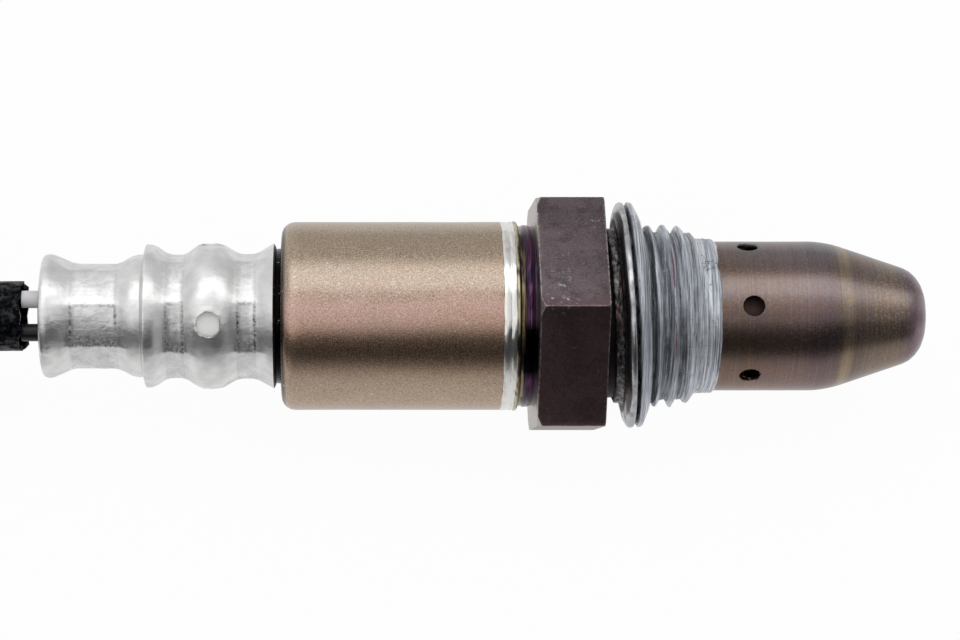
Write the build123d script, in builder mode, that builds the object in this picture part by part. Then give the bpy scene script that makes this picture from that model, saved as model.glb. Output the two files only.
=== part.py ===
"""Oxygen sensor for an engine's exhaust pipe, with its sleeved lead and plug.

Millimetres, +Z up. The sensor lies on one flat of its hexagon, its axis along X and its tip
towards +X. Stations along the axis are measured from the seat face of the hexagon, positive
towards the tip, and clock angles run round the axis from the -Y side upwards. The lead leaves
towards -X, comes down to the surface and lies there in one round coil with the plug inside it.
"""

import os
from math import cos, pi, radians, sin, tan

from build123d import *

os.makedirs("parts", exist_ok=True)

# Driving dimensions: the hull, its hexagon and its thread
hex_across_flats = 22.0
hex_rear = -7.15
hex_front = -0.6
hex_face_radius = 12.1
hex_chamfer_angle = 40.0
thread_diameter = 18.0
thread_start = 3.9
thread_end = 8.5
relief_diameter = 16.1
boss_diameter = 13.6
boss_end = 11.6
neck_radius = 9.03
collar_radius = 9.3
collar_start = -9.2
collar_end = -8.75
shell_seat_radius = 8.75
shell_seat_start = -12.0
hull_bore_radius = 5.9
hull_bore_end = 5.0
hull_front_bore_radius = 4.1
hull_rear_end = -13.2
crimp_lip_thickness = 0.6
crimp_lip_radius = 5.0

# Driving dimensions: the folded gasket, which hangs a little askew round the relief
gasket_outer_radius = 11.15
gasket_inner_radius = 8.2
gasket_width = 3.45
gasket_tilt = 2.7
gasket_station = 0.3
gasket_lift = 0.09

# Driving dimensions: the tubes round the tip
tube_radius = 7.3
tube_wall = 0.45
tube_start = 9.0
tip_reach = 31.0
cone_start = 21.36
cone_angle = 18.5
nose_radius = 3.0
gas_hole_diameter = 1.9
gas_hole_station = 13.55
gas_hole_first_angle = 63.5
gas_hole_count = 6
nose_hole_diameter = 2.0
inner_tube_radius = 5.3
inner_tube_wall = 0.35
inner_tube_end = 27.5
inner_hole_diameter = 1.5
inner_hole_station = 24.0

# Driving dimensions: the sensing element and what packs it in the hull
element_width = 4.2
element_thickness = 1.4
element_start = -27.0
element_end = 25.5
packing_radius = 5.85
front_insulator_start = 0.5
talc_start = -4.5
rear_insulator_start = -11.9

# Driving dimensions: the shell and the crimped vent cover behind the hexagon
shell_radius = 9.21
shell_wall = 0.45
shell_front = -10.45
shell_rear = -31.7
shell_corner_radius = 1.3
shell_neck_radius = 6.62
shell_tail_radius = 4.9
shell_tail_end = -46.0
cover_wall = 0.4
cover_rear = -55.05
cover_front = -32.45
crimp_side_count = 8
crimp_first_angle = 44.8
crimp_edge_width = 0.3
vent_hole_diameter = 2.4
vent_hole_station = -38.6
vent_hole_first_angle = 49.1
vent_hole_count = 4

# Driving dimensions: the contact chamber inside the shell
terminal_insulator_radius = 7.0
terminal_insulator_rear = -30.3
terminal_insulator_front = -15.0
contact_window = (6.0, 5.2)
contact_width = 1.4
contact_thickness = 0.3

# Driving dimensions: wires, sleeve, coil and tie
wire_diameter = 1.7
wire_pitch = 3.24
wire_square_angle = 55.8
wire_start = -33.0
wire_clearance = 0.02
tail_reach = 57.0
cord_diameter = 6.9
lead_end_run = 8.0
lead_slope_run = 10.95
lead_slope_step = 10.0
coil_turn_pitch = 7.0
coil_first_radius = 36.5
coil_last_arc = 60.0
tie_angle = 120.0
tie_width = 2.6
tie_thickness = 1.0
tie_head = (4.6, 4.8, 3.4)
tie_clearance = 0.1
tie_corner_radius = 0.9
tie_tail = 1.6

# Driving dimensions: the plug
plug_length = 36.0
plug_width = 21.0
plug_height = 16.0
plug_wall = 1.6
plug_cavity_depth = 15.0
plug_rear_width = 18.0
plug_rear_height = 14.0
plug_rear_length = 15.0
seal_width = 13.5
seal_height = 11.0
seal_depth = 4.5
pin_pitch_across = 5.5
pin_pitch_up = 5.0
pin_width = 1.5
pin_thickness = 0.8
pin_reach = 8.0
lock_thickness = 1.8
wire_bend_radius = 10.0
wire_bend_step = 40.0
wire_bend_count = 3
wire_run_to_plug = 1.9

# The frame: the axis stands half the hexagon's width above the surface
axis_height = hex_across_flats / 2
seat_x = 12.8
sensor_axis = Axis((seat_x, 0, axis_height), (1, 0, 0))
profile_plane = Plane(origin=(seat_x, 0, axis_height), x_dir=(1, 0, 0), z_dir=(0, -1, 0))


def cross_plane(station, clock=90.0):
    """The plane across the axis at a station, facing the tip, with its local Y at the clock angle."""
    angle = radians(clock)
    return Plane(
        origin=(seat_x + station, 0, axis_height),
        x_dir=(0, sin(angle), cos(angle)),
        z_dir=(1, 0, 0),
    )


def radial_plane(station, clock):
    """A plane through the axis that faces outwards at the clock angle, local X along the axis."""
    angle = radians(clock)
    return Plane(
        origin=(seat_x + station, 0, axis_height),
        x_dir=(1, 0, 0),
        z_dir=(0, -cos(angle), sin(angle)),
    )


def half_section(*points):
    """A closed half section, drawn as stations and radii."""
    with BuildSketch(profile_plane) as section:
        with BuildLine():
            Polyline(*points, close=True)
        make_face()
    return section.sketch


def sheet_section(points, radii, wall):
    """The half section of a drawn sheet: the outer line with its bends, and its wall inside it."""
    with BuildSketch(profile_plane) as section:
        with BuildLine():
            FilletPolyline(*points, radius=radii)
            offset(amount=wall, side=Side.RIGHT, kind=Kind.INTERSECTION)
        make_face()
    return section.sketch


def wire_places():
    """The four wires' places across the bundle, as lateral and upward halves of a square."""
    half = wire_pitch / 2
    return [(side * half, level * half) for side in (-1, 1) for level in (-1, 1)]


# --- Hull: hexagon, thread and the boss that carries the tubes, turned and bored in one piece ---

chamfer_reach = 1.0
chamfer_depth = chamfer_reach * tan(radians(hex_chamfer_angle))
thread_chamfer = (thread_diameter - relief_diameter) / 2

with BuildPart() as hex_body:
    with BuildSketch(cross_plane(hex_rear)):
        RegularPolygon(hex_across_flats / 2, 6, major_radius=False)
    extrude(amount=hex_front - hex_rear)
    revolve(
        half_section(
            (hex_rear, 0),
            (hex_rear, hex_face_radius),
            (hex_rear + chamfer_depth, hex_face_radius + chamfer_reach),
            (hex_front - chamfer_depth, hex_face_radius + chamfer_reach),
            (hex_front, hex_face_radius),
            (hex_front, 0),
        ),
        axis=sensor_axis,
        mode=Mode.INTERSECT,
    )
    revolve(
        half_section(
            (hull_rear_end, 0),
            (hull_rear_end, 6.2),
            (hull_rear_end + crimp_lip_thickness, 7.2),
            (shell_seat_start - 0.4, 7.4),
            (shell_seat_start, shell_seat_radius),
            (collar_start, shell_seat_radius),
            (collar_start, collar_radius),
            (collar_end, collar_radius),
            (collar_end, neck_radius),
            (hex_rear, neck_radius),
            (hex_rear, 0),
        ),
        axis=sensor_axis,
    )
    revolve(
        half_section(
            (hex_front, 0),
            (hex_front, relief_diameter / 2),
            (thread_start, relief_diameter / 2),
            (thread_start + thread_chamfer, thread_diameter / 2),
            (thread_end, thread_diameter / 2),
            (tube_start, 7.8),
            (tube_start, boss_diameter / 2),
            (boss_end, boss_diameter / 2),
            (boss_end, 0),
        ),
        axis=sensor_axis,
    )
    revolve(
        half_section(
            (hull_rear_end, 0),
            (hull_rear_end, crimp_lip_radius),
            (hull_rear_end + crimp_lip_thickness, crimp_lip_radius),
            (hull_rear_end + crimp_lip_thickness, hull_bore_radius),
            (hull_bore_end, hull_bore_radius),
            (hull_bore_end + 0.8, hull_front_bore_radius),
            (boss_end, hull_front_bore_radius),
            (boss_end, 0),
        ),
        axis=sensor_axis,
        mode=Mode.SUBTRACT,
    )
hex_body.part.label = "hex_body"
export_step(hex_body.part, "parts/hex_body.step")

# --- Gasket: one folded sheet ring, a raised inner bead and two dished lips with a slit between ---

gasket_plane = Plane(
    origin=(seat_x + gasket_station, 0, axis_height + gasket_lift),
    x_dir=(cos(radians(gasket_tilt)), 0, sin(radians(gasket_tilt))),
    z_dir=(0, -1, 0),
)

with BuildPart() as gasket:
    with BuildSketch(gasket_plane):
        with BuildLine():
            Polyline(
                (0, gasket_inner_radius),
                (0, gasket_inner_radius + 0.3),
                (0.95, gasket_inner_radius + 0.35),
                (0.85, gasket_inner_radius + 0.9),
                (1.15, gasket_outer_radius - 0.7),
                (1.5, gasket_outer_radius - 0.05),
                (1.65, gasket_outer_radius),
                (1.83, gasket_outer_radius - 0.12),
                (1.9, gasket_inner_radius + 1.4),
                (2.07, gasket_inner_radius + 1.4),
                (2.2, gasket_outer_radius - 0.2),
                (2.43, gasket_outer_radius - 0.05),
                (2.7, gasket_outer_radius - 0.2),
                (gasket_width - 0.05, gasket_inner_radius + 1.15),
                (gasket_width, gasket_inner_radius + 0.75),
                (gasket_width - 0.15, gasket_inner_radius + 0.6),
                (2.4, gasket_inner_radius + 0.35),
                (1.0, gasket_inner_radius),
                close=True,
            )
        make_face()
    revolve(axis=Axis(gasket_plane.origin, gasket_plane.x_dir))
gasket.part.label = "gasket"
export_step(gasket.part, "parts/gasket.step")

# --- Tubes round the tip: the outer one slides over the boss, the inner one stands on its face ---

cone_end_radius = tube_radius - (tip_reach - cone_start) * tan(radians(cone_angle))

with BuildPart() as outer_protection_tube:
    revolve(
        sheet_section(
            [
                (tube_start, tube_radius),
                (cone_start, tube_radius),
                (tip_reach, cone_end_radius),
                (tip_reach, nose_hole_diameter / 2),
            ],
            [4.0, nose_radius],
            tube_wall,
        ),
        axis=sensor_axis,
    )
    for index in range(gas_hole_count):
        with BuildSketch(radial_plane(gas_hole_station, gas_hole_first_angle + index * 360 / gas_hole_count)):
            Circle(gas_hole_diameter / 2)
        extrude(amount=tube_radius + 1, mode=Mode.SUBTRACT)
outer_protection_tube.part.label = "outer_protection_tube"
export_step(outer_protection_tube.part, "parts/outer_protection_tube.step")

flange_radius = tube_radius - tube_wall

with BuildPart() as inner_protection_tube:
    revolve(
        sheet_section(
            [
                (boss_end + inner_tube_wall, flange_radius),
                (boss_end + inner_tube_wall, inner_tube_radius),
                (inner_tube_end - 2.4, inner_tube_radius),
                (inner_tube_end, inner_tube_radius - 1.6),
                (inner_tube_end, nose_hole_diameter / 2),
            ],
            [0.4, 1.5, 1.0],
            inner_tube_wall,
        ),
        axis=sensor_axis,
    )
    for index in range(gas_hole_count):
        with BuildSketch(radial_plane(inner_hole_station, index * 360 / gas_hole_count)):
            Circle(inner_hole_diameter / 2)
        extrude(amount=inner_tube_radius + 1, mode=Mode.SUBTRACT)
inner_protection_tube.part.label = "inner_protection_tube"
export_step(inner_protection_tube.part, "parts/inner_protection_tube.step")

# --- Sensing element: a thin ceramic bar, wide side up, chamfered at its tip ---

with BuildPart() as sensing_element:
    with BuildSketch(cross_plane(element_start, wire_square_angle)):
        Rectangle(element_width, element_thickness)
    extrude(amount=element_end - element_start)
    chamfer(sensing_element.edges().group_by(Axis.X)[-1], length=0.3)
sensing_element.part.label = "sensing_element"
export_step(sensing_element.part, "parts/sensing_element.step")

# --- Packing in the hull's bore, front to rear: insulator, talc, insulator, steel ring ---

packing_spans = {
    "front_insulator": (front_insulator_start, hull_bore_end + 0.6),
    "talc_seal": (talc_start, front_insulator_start),
    "rear_insulator": (rear_insulator_start, talc_start),
}

for name, (start, end) in packing_spans.items():
    with BuildPart() as packing:
        with BuildSketch(cross_plane(start, wire_square_angle)):
            Circle(packing_radius)
            Rectangle(
                element_width + 2 * wire_clearance,
                element_thickness + 2 * wire_clearance,
                mode=Mode.SUBTRACT,
            )
        extrude(amount=end - start)
        if name == "front_insulator":
            front_edges = packing.faces().sort_by(Axis.X)[-1].edges()
            chamfer(front_edges.filter_by(GeomType.CIRCLE), length=0.8, length2=1.6)
    packing.part.label = name
    export_step(packing.part, f"parts/{name}.step")

packing_ring_end = hull_rear_end + crimp_lip_thickness

with BuildPart() as packing_ring:
    revolve(
        half_section(
            (packing_ring_end, 4.6),
            (packing_ring_end, packing_radius),
            (rear_insulator_start, packing_radius),
            (rear_insulator_start, 4.6),
        ),
        axis=sensor_axis,
    )
packing_ring.part.label = "packing_ring"
export_step(packing_ring.part, "parts/packing_ring.step")

# --- Shell: one deep-drawn stepped sleeve, wide over the contacts and narrow under the cover ---

with BuildPart() as upper_shell:
    revolve(
        sheet_section(
            [
                (shell_tail_end, shell_tail_radius),
                (-34.6, shell_tail_radius),
                (-32.5, shell_neck_radius),
                (shell_rear, shell_neck_radius),
                (shell_rear, shell_radius),
                (shell_front, shell_radius),
            ],
            [0.8, 0.6, 0.3, shell_corner_radius],
            shell_wall,
        ),
        axis=sensor_axis,
    )
upper_shell.part.label = "upper_shell"
export_step(upper_shell.part, "parts/upper_shell.step")

# --- Weld ring: the bead that joins shell and hull ---

with BuildPart() as weld_ring:
    revolve(
        half_section(
            (shell_front, shell_seat_radius + wire_clearance),
            (shell_front, shell_radius - 0.12),
            (shell_front + 0.35, shell_radius),
            (shell_front + 0.75, shell_radius - 0.12),
            (shell_front + 1.15, shell_radius),
            (collar_start, shell_radius - 0.15),
            (collar_start, shell_seat_radius + wire_clearance),
        ),
        axis=sensor_axis,
    )
weld_ring.part.label = "weld_ring"
export_step(weld_ring.part, "parts/weld_ring.step")

# --- Contact chamber: ceramic block, its two springs, and the four contacts with their crimps ---

with BuildPart() as terminal_insulator:
    with BuildSketch(cross_plane(terminal_insulator_rear, wire_square_angle)):
        Circle(terminal_insulator_radius)
        Rectangle(*contact_window, mode=Mode.SUBTRACT)
    extrude(amount=terminal_insulator_front - terminal_insulator_rear)
terminal_insulator.part.label = "terminal_insulator"
export_step(terminal_insulator.part, "parts/terminal_insulator.step")

with BuildPart() as spring_washer:
    revolve(
        half_section(
            (-31.2, 7.9),
            (-30.85, 7.9),
            (terminal_insulator_rear - 0.02, 6.2),
            (terminal_insulator_rear - 0.37, 6.2),
        ),
        axis=sensor_axis,
    )
spring_washer.part.label = "spring_washer"
export_step(spring_washer.part, "parts/spring_washer.step")

shell_bore_radius = shell_radius - shell_wall

with BuildPart() as retaining_ring:
    with BuildSketch(cross_plane(-21.0)):
        Circle(shell_bore_radius - 0.05)
        Circle(terminal_insulator_radius + 0.05, mode=Mode.SUBTRACT)
        with PolarLocations(shell_bore_radius, 6):
            Rectangle(1.6, 2.4, mode=Mode.SUBTRACT)
    extrude(amount=0.8)
retaining_ring.part.label = "retaining_ring"
export_step(retaining_ring.part, "parts/retaining_ring.step")

wire_plane = cross_plane(wire_start, wire_square_angle)

for number, (side, level) in enumerate(wire_places(), start=1):
    outwards = 1 if level > 0 else -1
    pressed = outwards * element_thickness / 2
    bow = outwards * contact_thickness
    spring_plane = Plane(
        origin=cross_plane(0, wire_square_angle).from_local_coords((side, 0, 0)),
        x_dir=(1, 0, 0),
        z_dir=-wire_plane.x_dir,
    )
    with BuildPart() as contact_terminal:
        with BuildSketch(wire_plane):
            with Locations((side, level)):
                Circle(wire_diameter / 2 - 0.1)
        extrude(amount=3.6)
        with BuildSketch(spring_plane):
            with BuildLine():
                Polyline(
                    (-30.0, level),
                    (-27.5, level),
                    (-23.0, pressed),
                    (-19.0, level),
                    (-19.0, level + bow),
                    (-23.0, pressed + bow * 1.4),
                    (-27.5, level + bow),
                    (-30.0, level + bow),
                    close=True,
                )
            make_face()
        extrude(amount=contact_width / 2, both=True)
    contact_terminal.part.label = f"contact_terminal_{number}"
    export_step(contact_terminal.part, f"parts/contact_terminal_{number}.step")

# --- Vent cover: one stamped sleeve, pressed into an octagon at its waist and in two bands ---

crimp_bands = [
    (-52.0, -47.65, 5.22),
    (-42.75, -41.15, 6.16),
    (-35.85, -34.2, 6.22),
]
cover_line = [
    (cover_rear, 5.15),
    (cover_rear, 5.95),
    (-54.3, 6.1),
    (-52.0, 5.22),
    (-47.65, 5.22),
    (-46.1, 6.04),
    (-45.25, 6.0),
    (-44.95, 7.06),
    (-44.15, 6.97),
    (-42.75, 6.16),
    (-41.15, 6.16),
    (-39.75, 7.1),
    (-37.6, 7.1),
    (-35.85, 6.22),
    (-34.2, 6.22),
    (cover_front, 7.12),
]
cover_bends = [0.5, 0.7, 1.0, 1.0, 1.5, 0.2, 0.5, 0.8, 0.8, 0.8, 1.2, 1.2, 0.8, 0.8]

with BuildPart() as vent_cover:
    revolve(sheet_section(cover_line, cover_bends, cover_wall), axis=sensor_axis)
    for band_start, band_end, corner_radius in crimp_bands:
        flat_radius = corner_radius * cos(pi / crimp_side_count)
        with BuildSketch(cross_plane(band_start, crimp_first_angle)):
            Circle(corner_radius - 0.05)
            RegularPolygon(
                flat_radius - cover_wall,
                crimp_side_count,
                major_radius=False,
                rotation=180 / crimp_side_count,
                mode=Mode.SUBTRACT,
            )
        extrude(amount=band_end - band_start)
        with BuildSketch(cross_plane(band_start + crimp_edge_width, crimp_first_angle)):
            Circle(corner_radius + 1)
            RegularPolygon(
                flat_radius,
                crimp_side_count,
                major_radius=False,
                rotation=180 / crimp_side_count,
                mode=Mode.SUBTRACT,
            )
        extrude(amount=band_end - band_start - 2 * crimp_edge_width, mode=Mode.SUBTRACT)
    for index in range(vent_hole_count):
        with BuildSketch(radial_plane(vent_hole_station, vent_hole_first_angle + index * 360 / vent_hole_count)):
            Circle(vent_hole_diameter / 2)
        extrude(amount=9, mode=Mode.SUBTRACT)
vent_cover.part.label = "vent_cover"
export_step(vent_cover.part, "parts/vent_cover.step")

# --- Filter sleeve: a porous ring squeezed by the two crimp bands, seen through the vent holes ---

with BuildPart() as filter_sleeve:
    revolve(
        half_section(
            (-43.1, shell_tail_radius),
            (-43.1, 5.25),
            (-40.9, 5.25),
            (-39.75, 6.6),
            (-37.6, 6.6),
            (-36.1, 5.25),
            (-35.1, 5.25),
            (-35.1, shell_tail_radius),
        ),
        axis=sensor_axis,
    )
filter_sleeve.part.label = "filter_sleeve"
export_step(filter_sleeve.part, "parts/filter_sleeve.step")

# --- Grommet: the rubber plug in the cover's waist, with a bore for each wire ---

tail_bore_radius = shell_tail_radius - shell_wall

with BuildPart() as grommet:
    revolve(
        half_section(
            (-54.9, 0),
            (-54.9, 4.4),
            (-47.6, 4.4),
            (-46.7, 5.1),
            (shell_tail_end, 5.1),
            (shell_tail_end, tail_bore_radius - 0.05),
            (-43.5, tail_bore_radius - 0.3),
            (-43.5, 0),
        ),
        axis=sensor_axis,
    )
    with BuildSketch(cross_plane(-54.9, wire_square_angle)):
        with Locations(*wire_places()):
            Circle(wire_diameter / 2 + wire_clearance)
    extrude(amount=54.9 - 43.5, mode=Mode.SUBTRACT)
grommet.part.label = "grommet"
export_step(grommet.part, "parts/grommet.step")

# --- Lead wires: from their contacts through the grommet to the mouth of the sleeve ---

for number, place in enumerate(wire_places(), start=1):
    with BuildPart() as lead_wire:
        with BuildSketch(cross_plane(-tail_reach, wire_square_angle)):
            with Locations(place):
                Circle(wire_diameter / 2)
        extrude(amount=tail_reach + wire_start)
    lead_wire.part.label = f"lead_wire_{number}"
    export_step(lead_wire.part, f"parts/lead_wire_{number}.step")

# --- Lead sleeve: out of the sensor, down to the surface and along it to the start of the coil ---

cord_radius = cord_diameter / 2
slopes = [0, lead_slope_step, 2 * lead_slope_step, lead_slope_step, 0]
runs = [lead_end_run, lead_slope_run, lead_slope_run, lead_slope_run, lead_end_run]
slope_drop = lead_slope_run * sum(sin(radians(slope)) for slope in slopes[1:-1])
drop_scale = (axis_height - cord_radius) / slope_drop

lead_points = [Vector(seat_x - tail_reach, 0, axis_height)]
for run, slope in zip(runs, slopes):
    step = Vector(-run * cos(radians(slope)), 0, -run * sin(radians(slope)) * drop_scale)
    lead_points.append(lead_points[-1] + step)


def bend_radii(points):
    """The radius at each corner of a route: 0.45 of the shorter run over the half turn's tangent."""
    radii = []
    for before, corner, after in zip(points, points[1:], points[2:]):
        half_turn = radians((corner - before).get_angle(after - corner) / 2)
        radii.append(0.45 * min((corner - before).length, (after - corner).length) / tan(half_turn))
    return radii


lead_radii = bend_radii(lead_points)
print("lead bends, mm:", [round(radius, 1) for radius in lead_radii])

with BuildPart() as lead_sleeve:
    with BuildLine() as lead_path:
        FilletPolyline(*lead_points, radius=lead_radii)
    with BuildSketch(Plane(origin=lead_points[0], z_dir=(-1, 0, 0))):
        Circle(cord_radius)
    sweep()
lead_sleeve.part.label = "lead_sleeve"
export_step(lead_sleeve.part, "parts/lead_sleeve.step")
lead_length = sum(edge.length for edge in lead_path.edges())
print("lead to coil, mm:", round(lead_length, 1))
print("volume over section x length:", round(lead_sleeve.part.volume / (pi * cord_radius**2 * lead_length), 4))

# --- Lead coil: the outer shape of the coiled stretch, two half turns and the last arc inside ---

coil_x = lead_points[-1].X
coil_y = -coil_first_radius
second_radius = coil_first_radius - coil_turn_pitch / 2
third_radius = coil_first_radius - coil_turn_pitch
half_pitch = coil_turn_pitch / 2
coil_centre = (coil_x, coil_y)
second_centre = (coil_x, coil_y - half_pitch)
end_angle = 90 + coil_last_arc

tie_heading = radians(tie_angle)
tie_middle = (coil_first_radius + third_radius) / 2
tie_span = coil_turn_pitch * 2 + tie_clearance
tie_plane = Plane(
    origin=(coil_x + tie_middle * cos(tie_heading), coil_y + tie_middle * sin(tie_heading), cord_radius),
    x_dir=(cos(tie_heading), sin(tie_heading), 0),
    z_dir=(sin(tie_heading), -cos(tie_heading), 0),
)

with BuildPart() as lead_coil:
    with BuildSketch():
        with BuildLine():
            first_turn = CenterArc(coil_centre, coil_first_radius + half_pitch, 90, 180)
            second_turn = CenterArc(second_centre, second_radius + half_pitch, 270, 180)
            Line(second_turn @ 1, first_turn @ 0)
        make_face()
        with BuildLine():
            first_turn = CenterArc(coil_centre, coil_first_radius - half_pitch, end_angle, 180 - coil_last_arc)
            CenterArc(second_centre, second_radius - half_pitch, 270, 180)
            last_turn = CenterArc(coil_centre, third_radius - half_pitch, 90, coil_last_arc)
            Line(last_turn @ 1, first_turn @ 0)
        make_face(mode=Mode.SUBTRACT)
    extrude(amount=cord_diameter)
    with BuildSketch(tie_plane):
        with GridLocations(0, 2 * (cord_radius - tie_thickness / 2), 1, 2):
            Rectangle(tie_span + 2, tie_thickness)
    extrude(amount=tie_width / 2 + tie_clearance, both=True, mode=Mode.SUBTRACT)
lead_coil.part.label = "lead_coil"
export_step(lead_coil.part, "parts/lead_coil.step")

last_arc_length = radians(coil_last_arc) * third_radius
sleeve_length = lead_length + pi * (coil_first_radius + second_radius) + last_arc_length
print("sleeved lead, mm:", round(sleeve_length, 1))

# --- Cable tie: strap, head and trimmed tail round the two turns where they lie side by side ---

with BuildPart() as cable_tie:
    with BuildSketch(tie_plane):
        RectangleRounded(tie_span + 2 * tie_thickness, cord_diameter, tie_corner_radius)
        Rectangle(tie_span, cord_diameter - 2 * tie_thickness, mode=Mode.SUBTRACT)
    extrude(amount=tie_width / 2, both=True)
    with BuildSketch(tie_plane):
        with Locations((-tie_span / 4, cord_radius + tie_head[2] / 2)):
            Rectangle(tie_head[0], tie_head[2])
    extrude(amount=tie_head[1] / 2, both=True)
    with BuildSketch(tie_plane):
        with Locations((-tie_span / 4 - 0.8, cord_radius + tie_head[2] + tie_tail / 2)):
            Rectangle(tie_thickness, tie_tail)
    extrude(amount=tie_width / 2, both=True)
cable_tie.part.label = "cable_tie"
export_step(cable_tie.part, "parts/cable_tie.step")

# --- Plug wires: out of the sleeve's far end, round one bend into the back of the plug ---

start_heading = end_angle + 90
corner_run = wire_bend_radius * tan(radians(wire_bend_step / 2))
wire_spine = [
    Vector(
        coil_x + third_radius * cos(radians(end_angle)),
        coil_y + third_radius * sin(radians(end_angle)),
        cord_radius,
    )
]
spine_runs = [corner_run] + [2 * corner_run] * (wire_bend_count - 1) + [corner_run + wire_run_to_plug]
spine_headings = [start_heading + wire_bend_step * index for index in range(wire_bend_count + 1)]
for run, heading in zip(spine_runs, spine_headings):
    wire_spine.append(wire_spine[-1] + Vector(cos(radians(heading)), sin(radians(heading))) * run)

plug_rear = wire_spine[-1]
plug_axis_height = plug_height / 2
plug_plane = Plane(
    origin=(plug_rear.X, plug_rear.Y, plug_axis_height),
    x_dir=(0, 1, 0),
    z_dir=(1, 0, 0),
)
half_across = pin_pitch_across / wire_pitch
half_up = pin_pitch_up / wire_pitch


def plug_wire_route(side, level):
    """One wire's corners: the spine, moved sideways and up by a share that grows towards the plug."""
    points = []
    for index, corner in enumerate(wire_spine):
        share = min(max((index - 1) / (wire_bend_count - 1), 0.0), 1.0)
        heading_in = spine_headings[max(index - 1, 0)]
        heading_out = spine_headings[min(index, wire_bend_count)]
        heading = radians((heading_in + heading_out) / 2)
        stretch = 1 / cos(radians((heading_out - heading_in) / 2))
        across = side * (1 + (half_across - 1) * share) * stretch
        rise = (plug_axis_height - cord_radius) * share + level * (1 + (half_up - 1) * share)
        points.append(corner + Vector(-sin(heading) * across, cos(heading) * across, rise))
    return points


inner_run = 7.0

for number, (side, level) in enumerate(wire_places(), start=1):
    route = plug_wire_route(side, level)
    route[-1] += Vector(inner_run, 0, 0)
    with BuildPart() as plug_wire:
        with BuildLine():
            FilletPolyline(*route, radius=bend_radii(route))
        with BuildSketch(Plane(origin=route[0], z_dir=route[1] - route[0])):
            Circle(wire_diameter / 2)
        sweep()
    plug_wire.part.label = f"plug_wire_{number}"
    export_step(plug_wire.part, f"parts/plug_wire_{number}.step")

# --- Plug: housing with an open shroud, wire seal, its cap, terminal lock and four pins ---

pin_places = [
    (side * pin_pitch_across / 2, level * pin_pitch_up / 2) for side in (-1, 1) for level in (-1, 1)
]
cavity_floor = plug_length - plug_cavity_depth
cavity_width = plug_width - 2 * plug_wall
cavity_height = plug_height - 2 * plug_wall

with BuildPart() as connector_housing:
    with BuildSketch(plug_plane):
        RectangleRounded(plug_rear_width, plug_rear_height, 2.5)
    extrude(amount=plug_rear_length)
    with BuildSketch(plug_plane.offset(plug_rear_length)):
        RectangleRounded(plug_width, plug_height, 3.0)
    extrude(amount=plug_length - plug_rear_length)
    with BuildSketch(plug_plane.offset(cavity_floor)):
        RectangleRounded(cavity_width, cavity_height, 3.0 - plug_wall)
    extrude(amount=plug_cavity_depth, mode=Mode.SUBTRACT)
    with BuildSketch(plug_plane):
        RectangleRounded(seal_width, seal_height, 2.0)
    extrude(amount=seal_depth, mode=Mode.SUBTRACT)
    with BuildSketch(plug_plane.offset(seal_depth)):
        with Locations(*pin_places):
            Circle(wire_diameter / 2 + 0.3)
    extrude(amount=9.5, mode=Mode.SUBTRACT)
    with BuildSketch(plug_plane.offset(seal_depth)):
        with Locations(*pin_places):
            Rectangle(pin_width, pin_thickness)
    extrude(amount=cavity_floor - seal_depth, mode=Mode.SUBTRACT)
    with BuildSketch(Plane(origin=(plug_rear.X, plug_rear.Y, plug_height), x_dir=(1, 0, 0), z_dir=(0, -1, 0))):
        with BuildLine():
            Polyline((24, -0.5), (24, 0.4), (27.5, 2.0), (28.5, 2.0), (28.5, -0.5), close=True)
        make_face()
    extrude(amount=2.6, both=True)
    for side in (-1, 1):
        with BuildSketch(plug_plane.offset(plug_rear_length)):
            with Locations((side * 7.2, plug_height / 2 + 0.35)):
                Rectangle(1.2, 1.7)
        extrude(amount=plug_length - plug_rear_length)
        with BuildSketch(plug_plane.offset(4)):
            with Locations((side * (plug_rear_width / 2 + 0.35), 0)):
                Rectangle(1.7, 6.0)
        extrude(amount=plug_rear_length - 4)
connector_housing.part.label = "connector_housing"
export_step(connector_housing.part, "parts/connector_housing.step")

with BuildPart() as wire_seal:
    with BuildSketch(plug_plane):
        RectangleRounded(seal_width, seal_height, 2.0)
        with Locations(*pin_places):
            Circle(wire_diameter / 2 + wire_clearance, mode=Mode.SUBTRACT)
    extrude(amount=seal_depth)
wire_seal.part.label = "wire_seal"
export_step(wire_seal.part, "parts/wire_seal.step")

with BuildPart() as seal_cap:
    with BuildSketch(plug_plane.offset(-1.4)):
        RectangleRounded(plug_rear_width - 0.6, plug_rear_height - 0.6, 2.2)
        with Locations(*pin_places):
            Circle(wire_diameter / 2 + 0.35, mode=Mode.SUBTRACT)
    extrude(amount=1.4)
seal_cap.part.label = "seal_cap"
export_step(seal_cap.part, "parts/seal_cap.step")

with BuildPart() as terminal_lock:
    with BuildSketch(plug_plane.offset(cavity_floor)):
        RectangleRounded(cavity_width - 0.4, cavity_height - 0.4, 1.2)
        with Locations(*pin_places):
            Rectangle(pin_width + 0.3, pin_thickness + 0.3, mode=Mode.SUBTRACT)
    extrude(amount=lock_thickness)
terminal_lock.part.label = "terminal_lock"
export_step(terminal_lock.part, "parts/terminal_lock.step")

for number, place in enumerate(pin_places, start=1):
    with BuildPart() as connector_pin:
        with BuildSketch(plug_plane.offset(inner_run)):
            with Locations(place):
                Circle(wire_diameter / 2 + 0.15)
        extrude(amount=5.0)
        with BuildSketch(plug_plane.offset(inner_run + 5.0)):
            with Locations(place):
                Rectangle(pin_width, pin_thickness)
        extrude(amount=cavity_floor + pin_reach - inner_run - 5.0)
        chamfer(connector_pin.faces().sort_by(Axis.X)[-1].edges(), length=0.25)
    connector_pin.part.label = f"connector_pin_{number}"
    export_step(connector_pin.part, f"parts/connector_pin_{number}.step")
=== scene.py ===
import math
from functools import partial, reduce

import bmesh
import bpy
from mathutils import Matrix, Vector, noise


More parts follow.
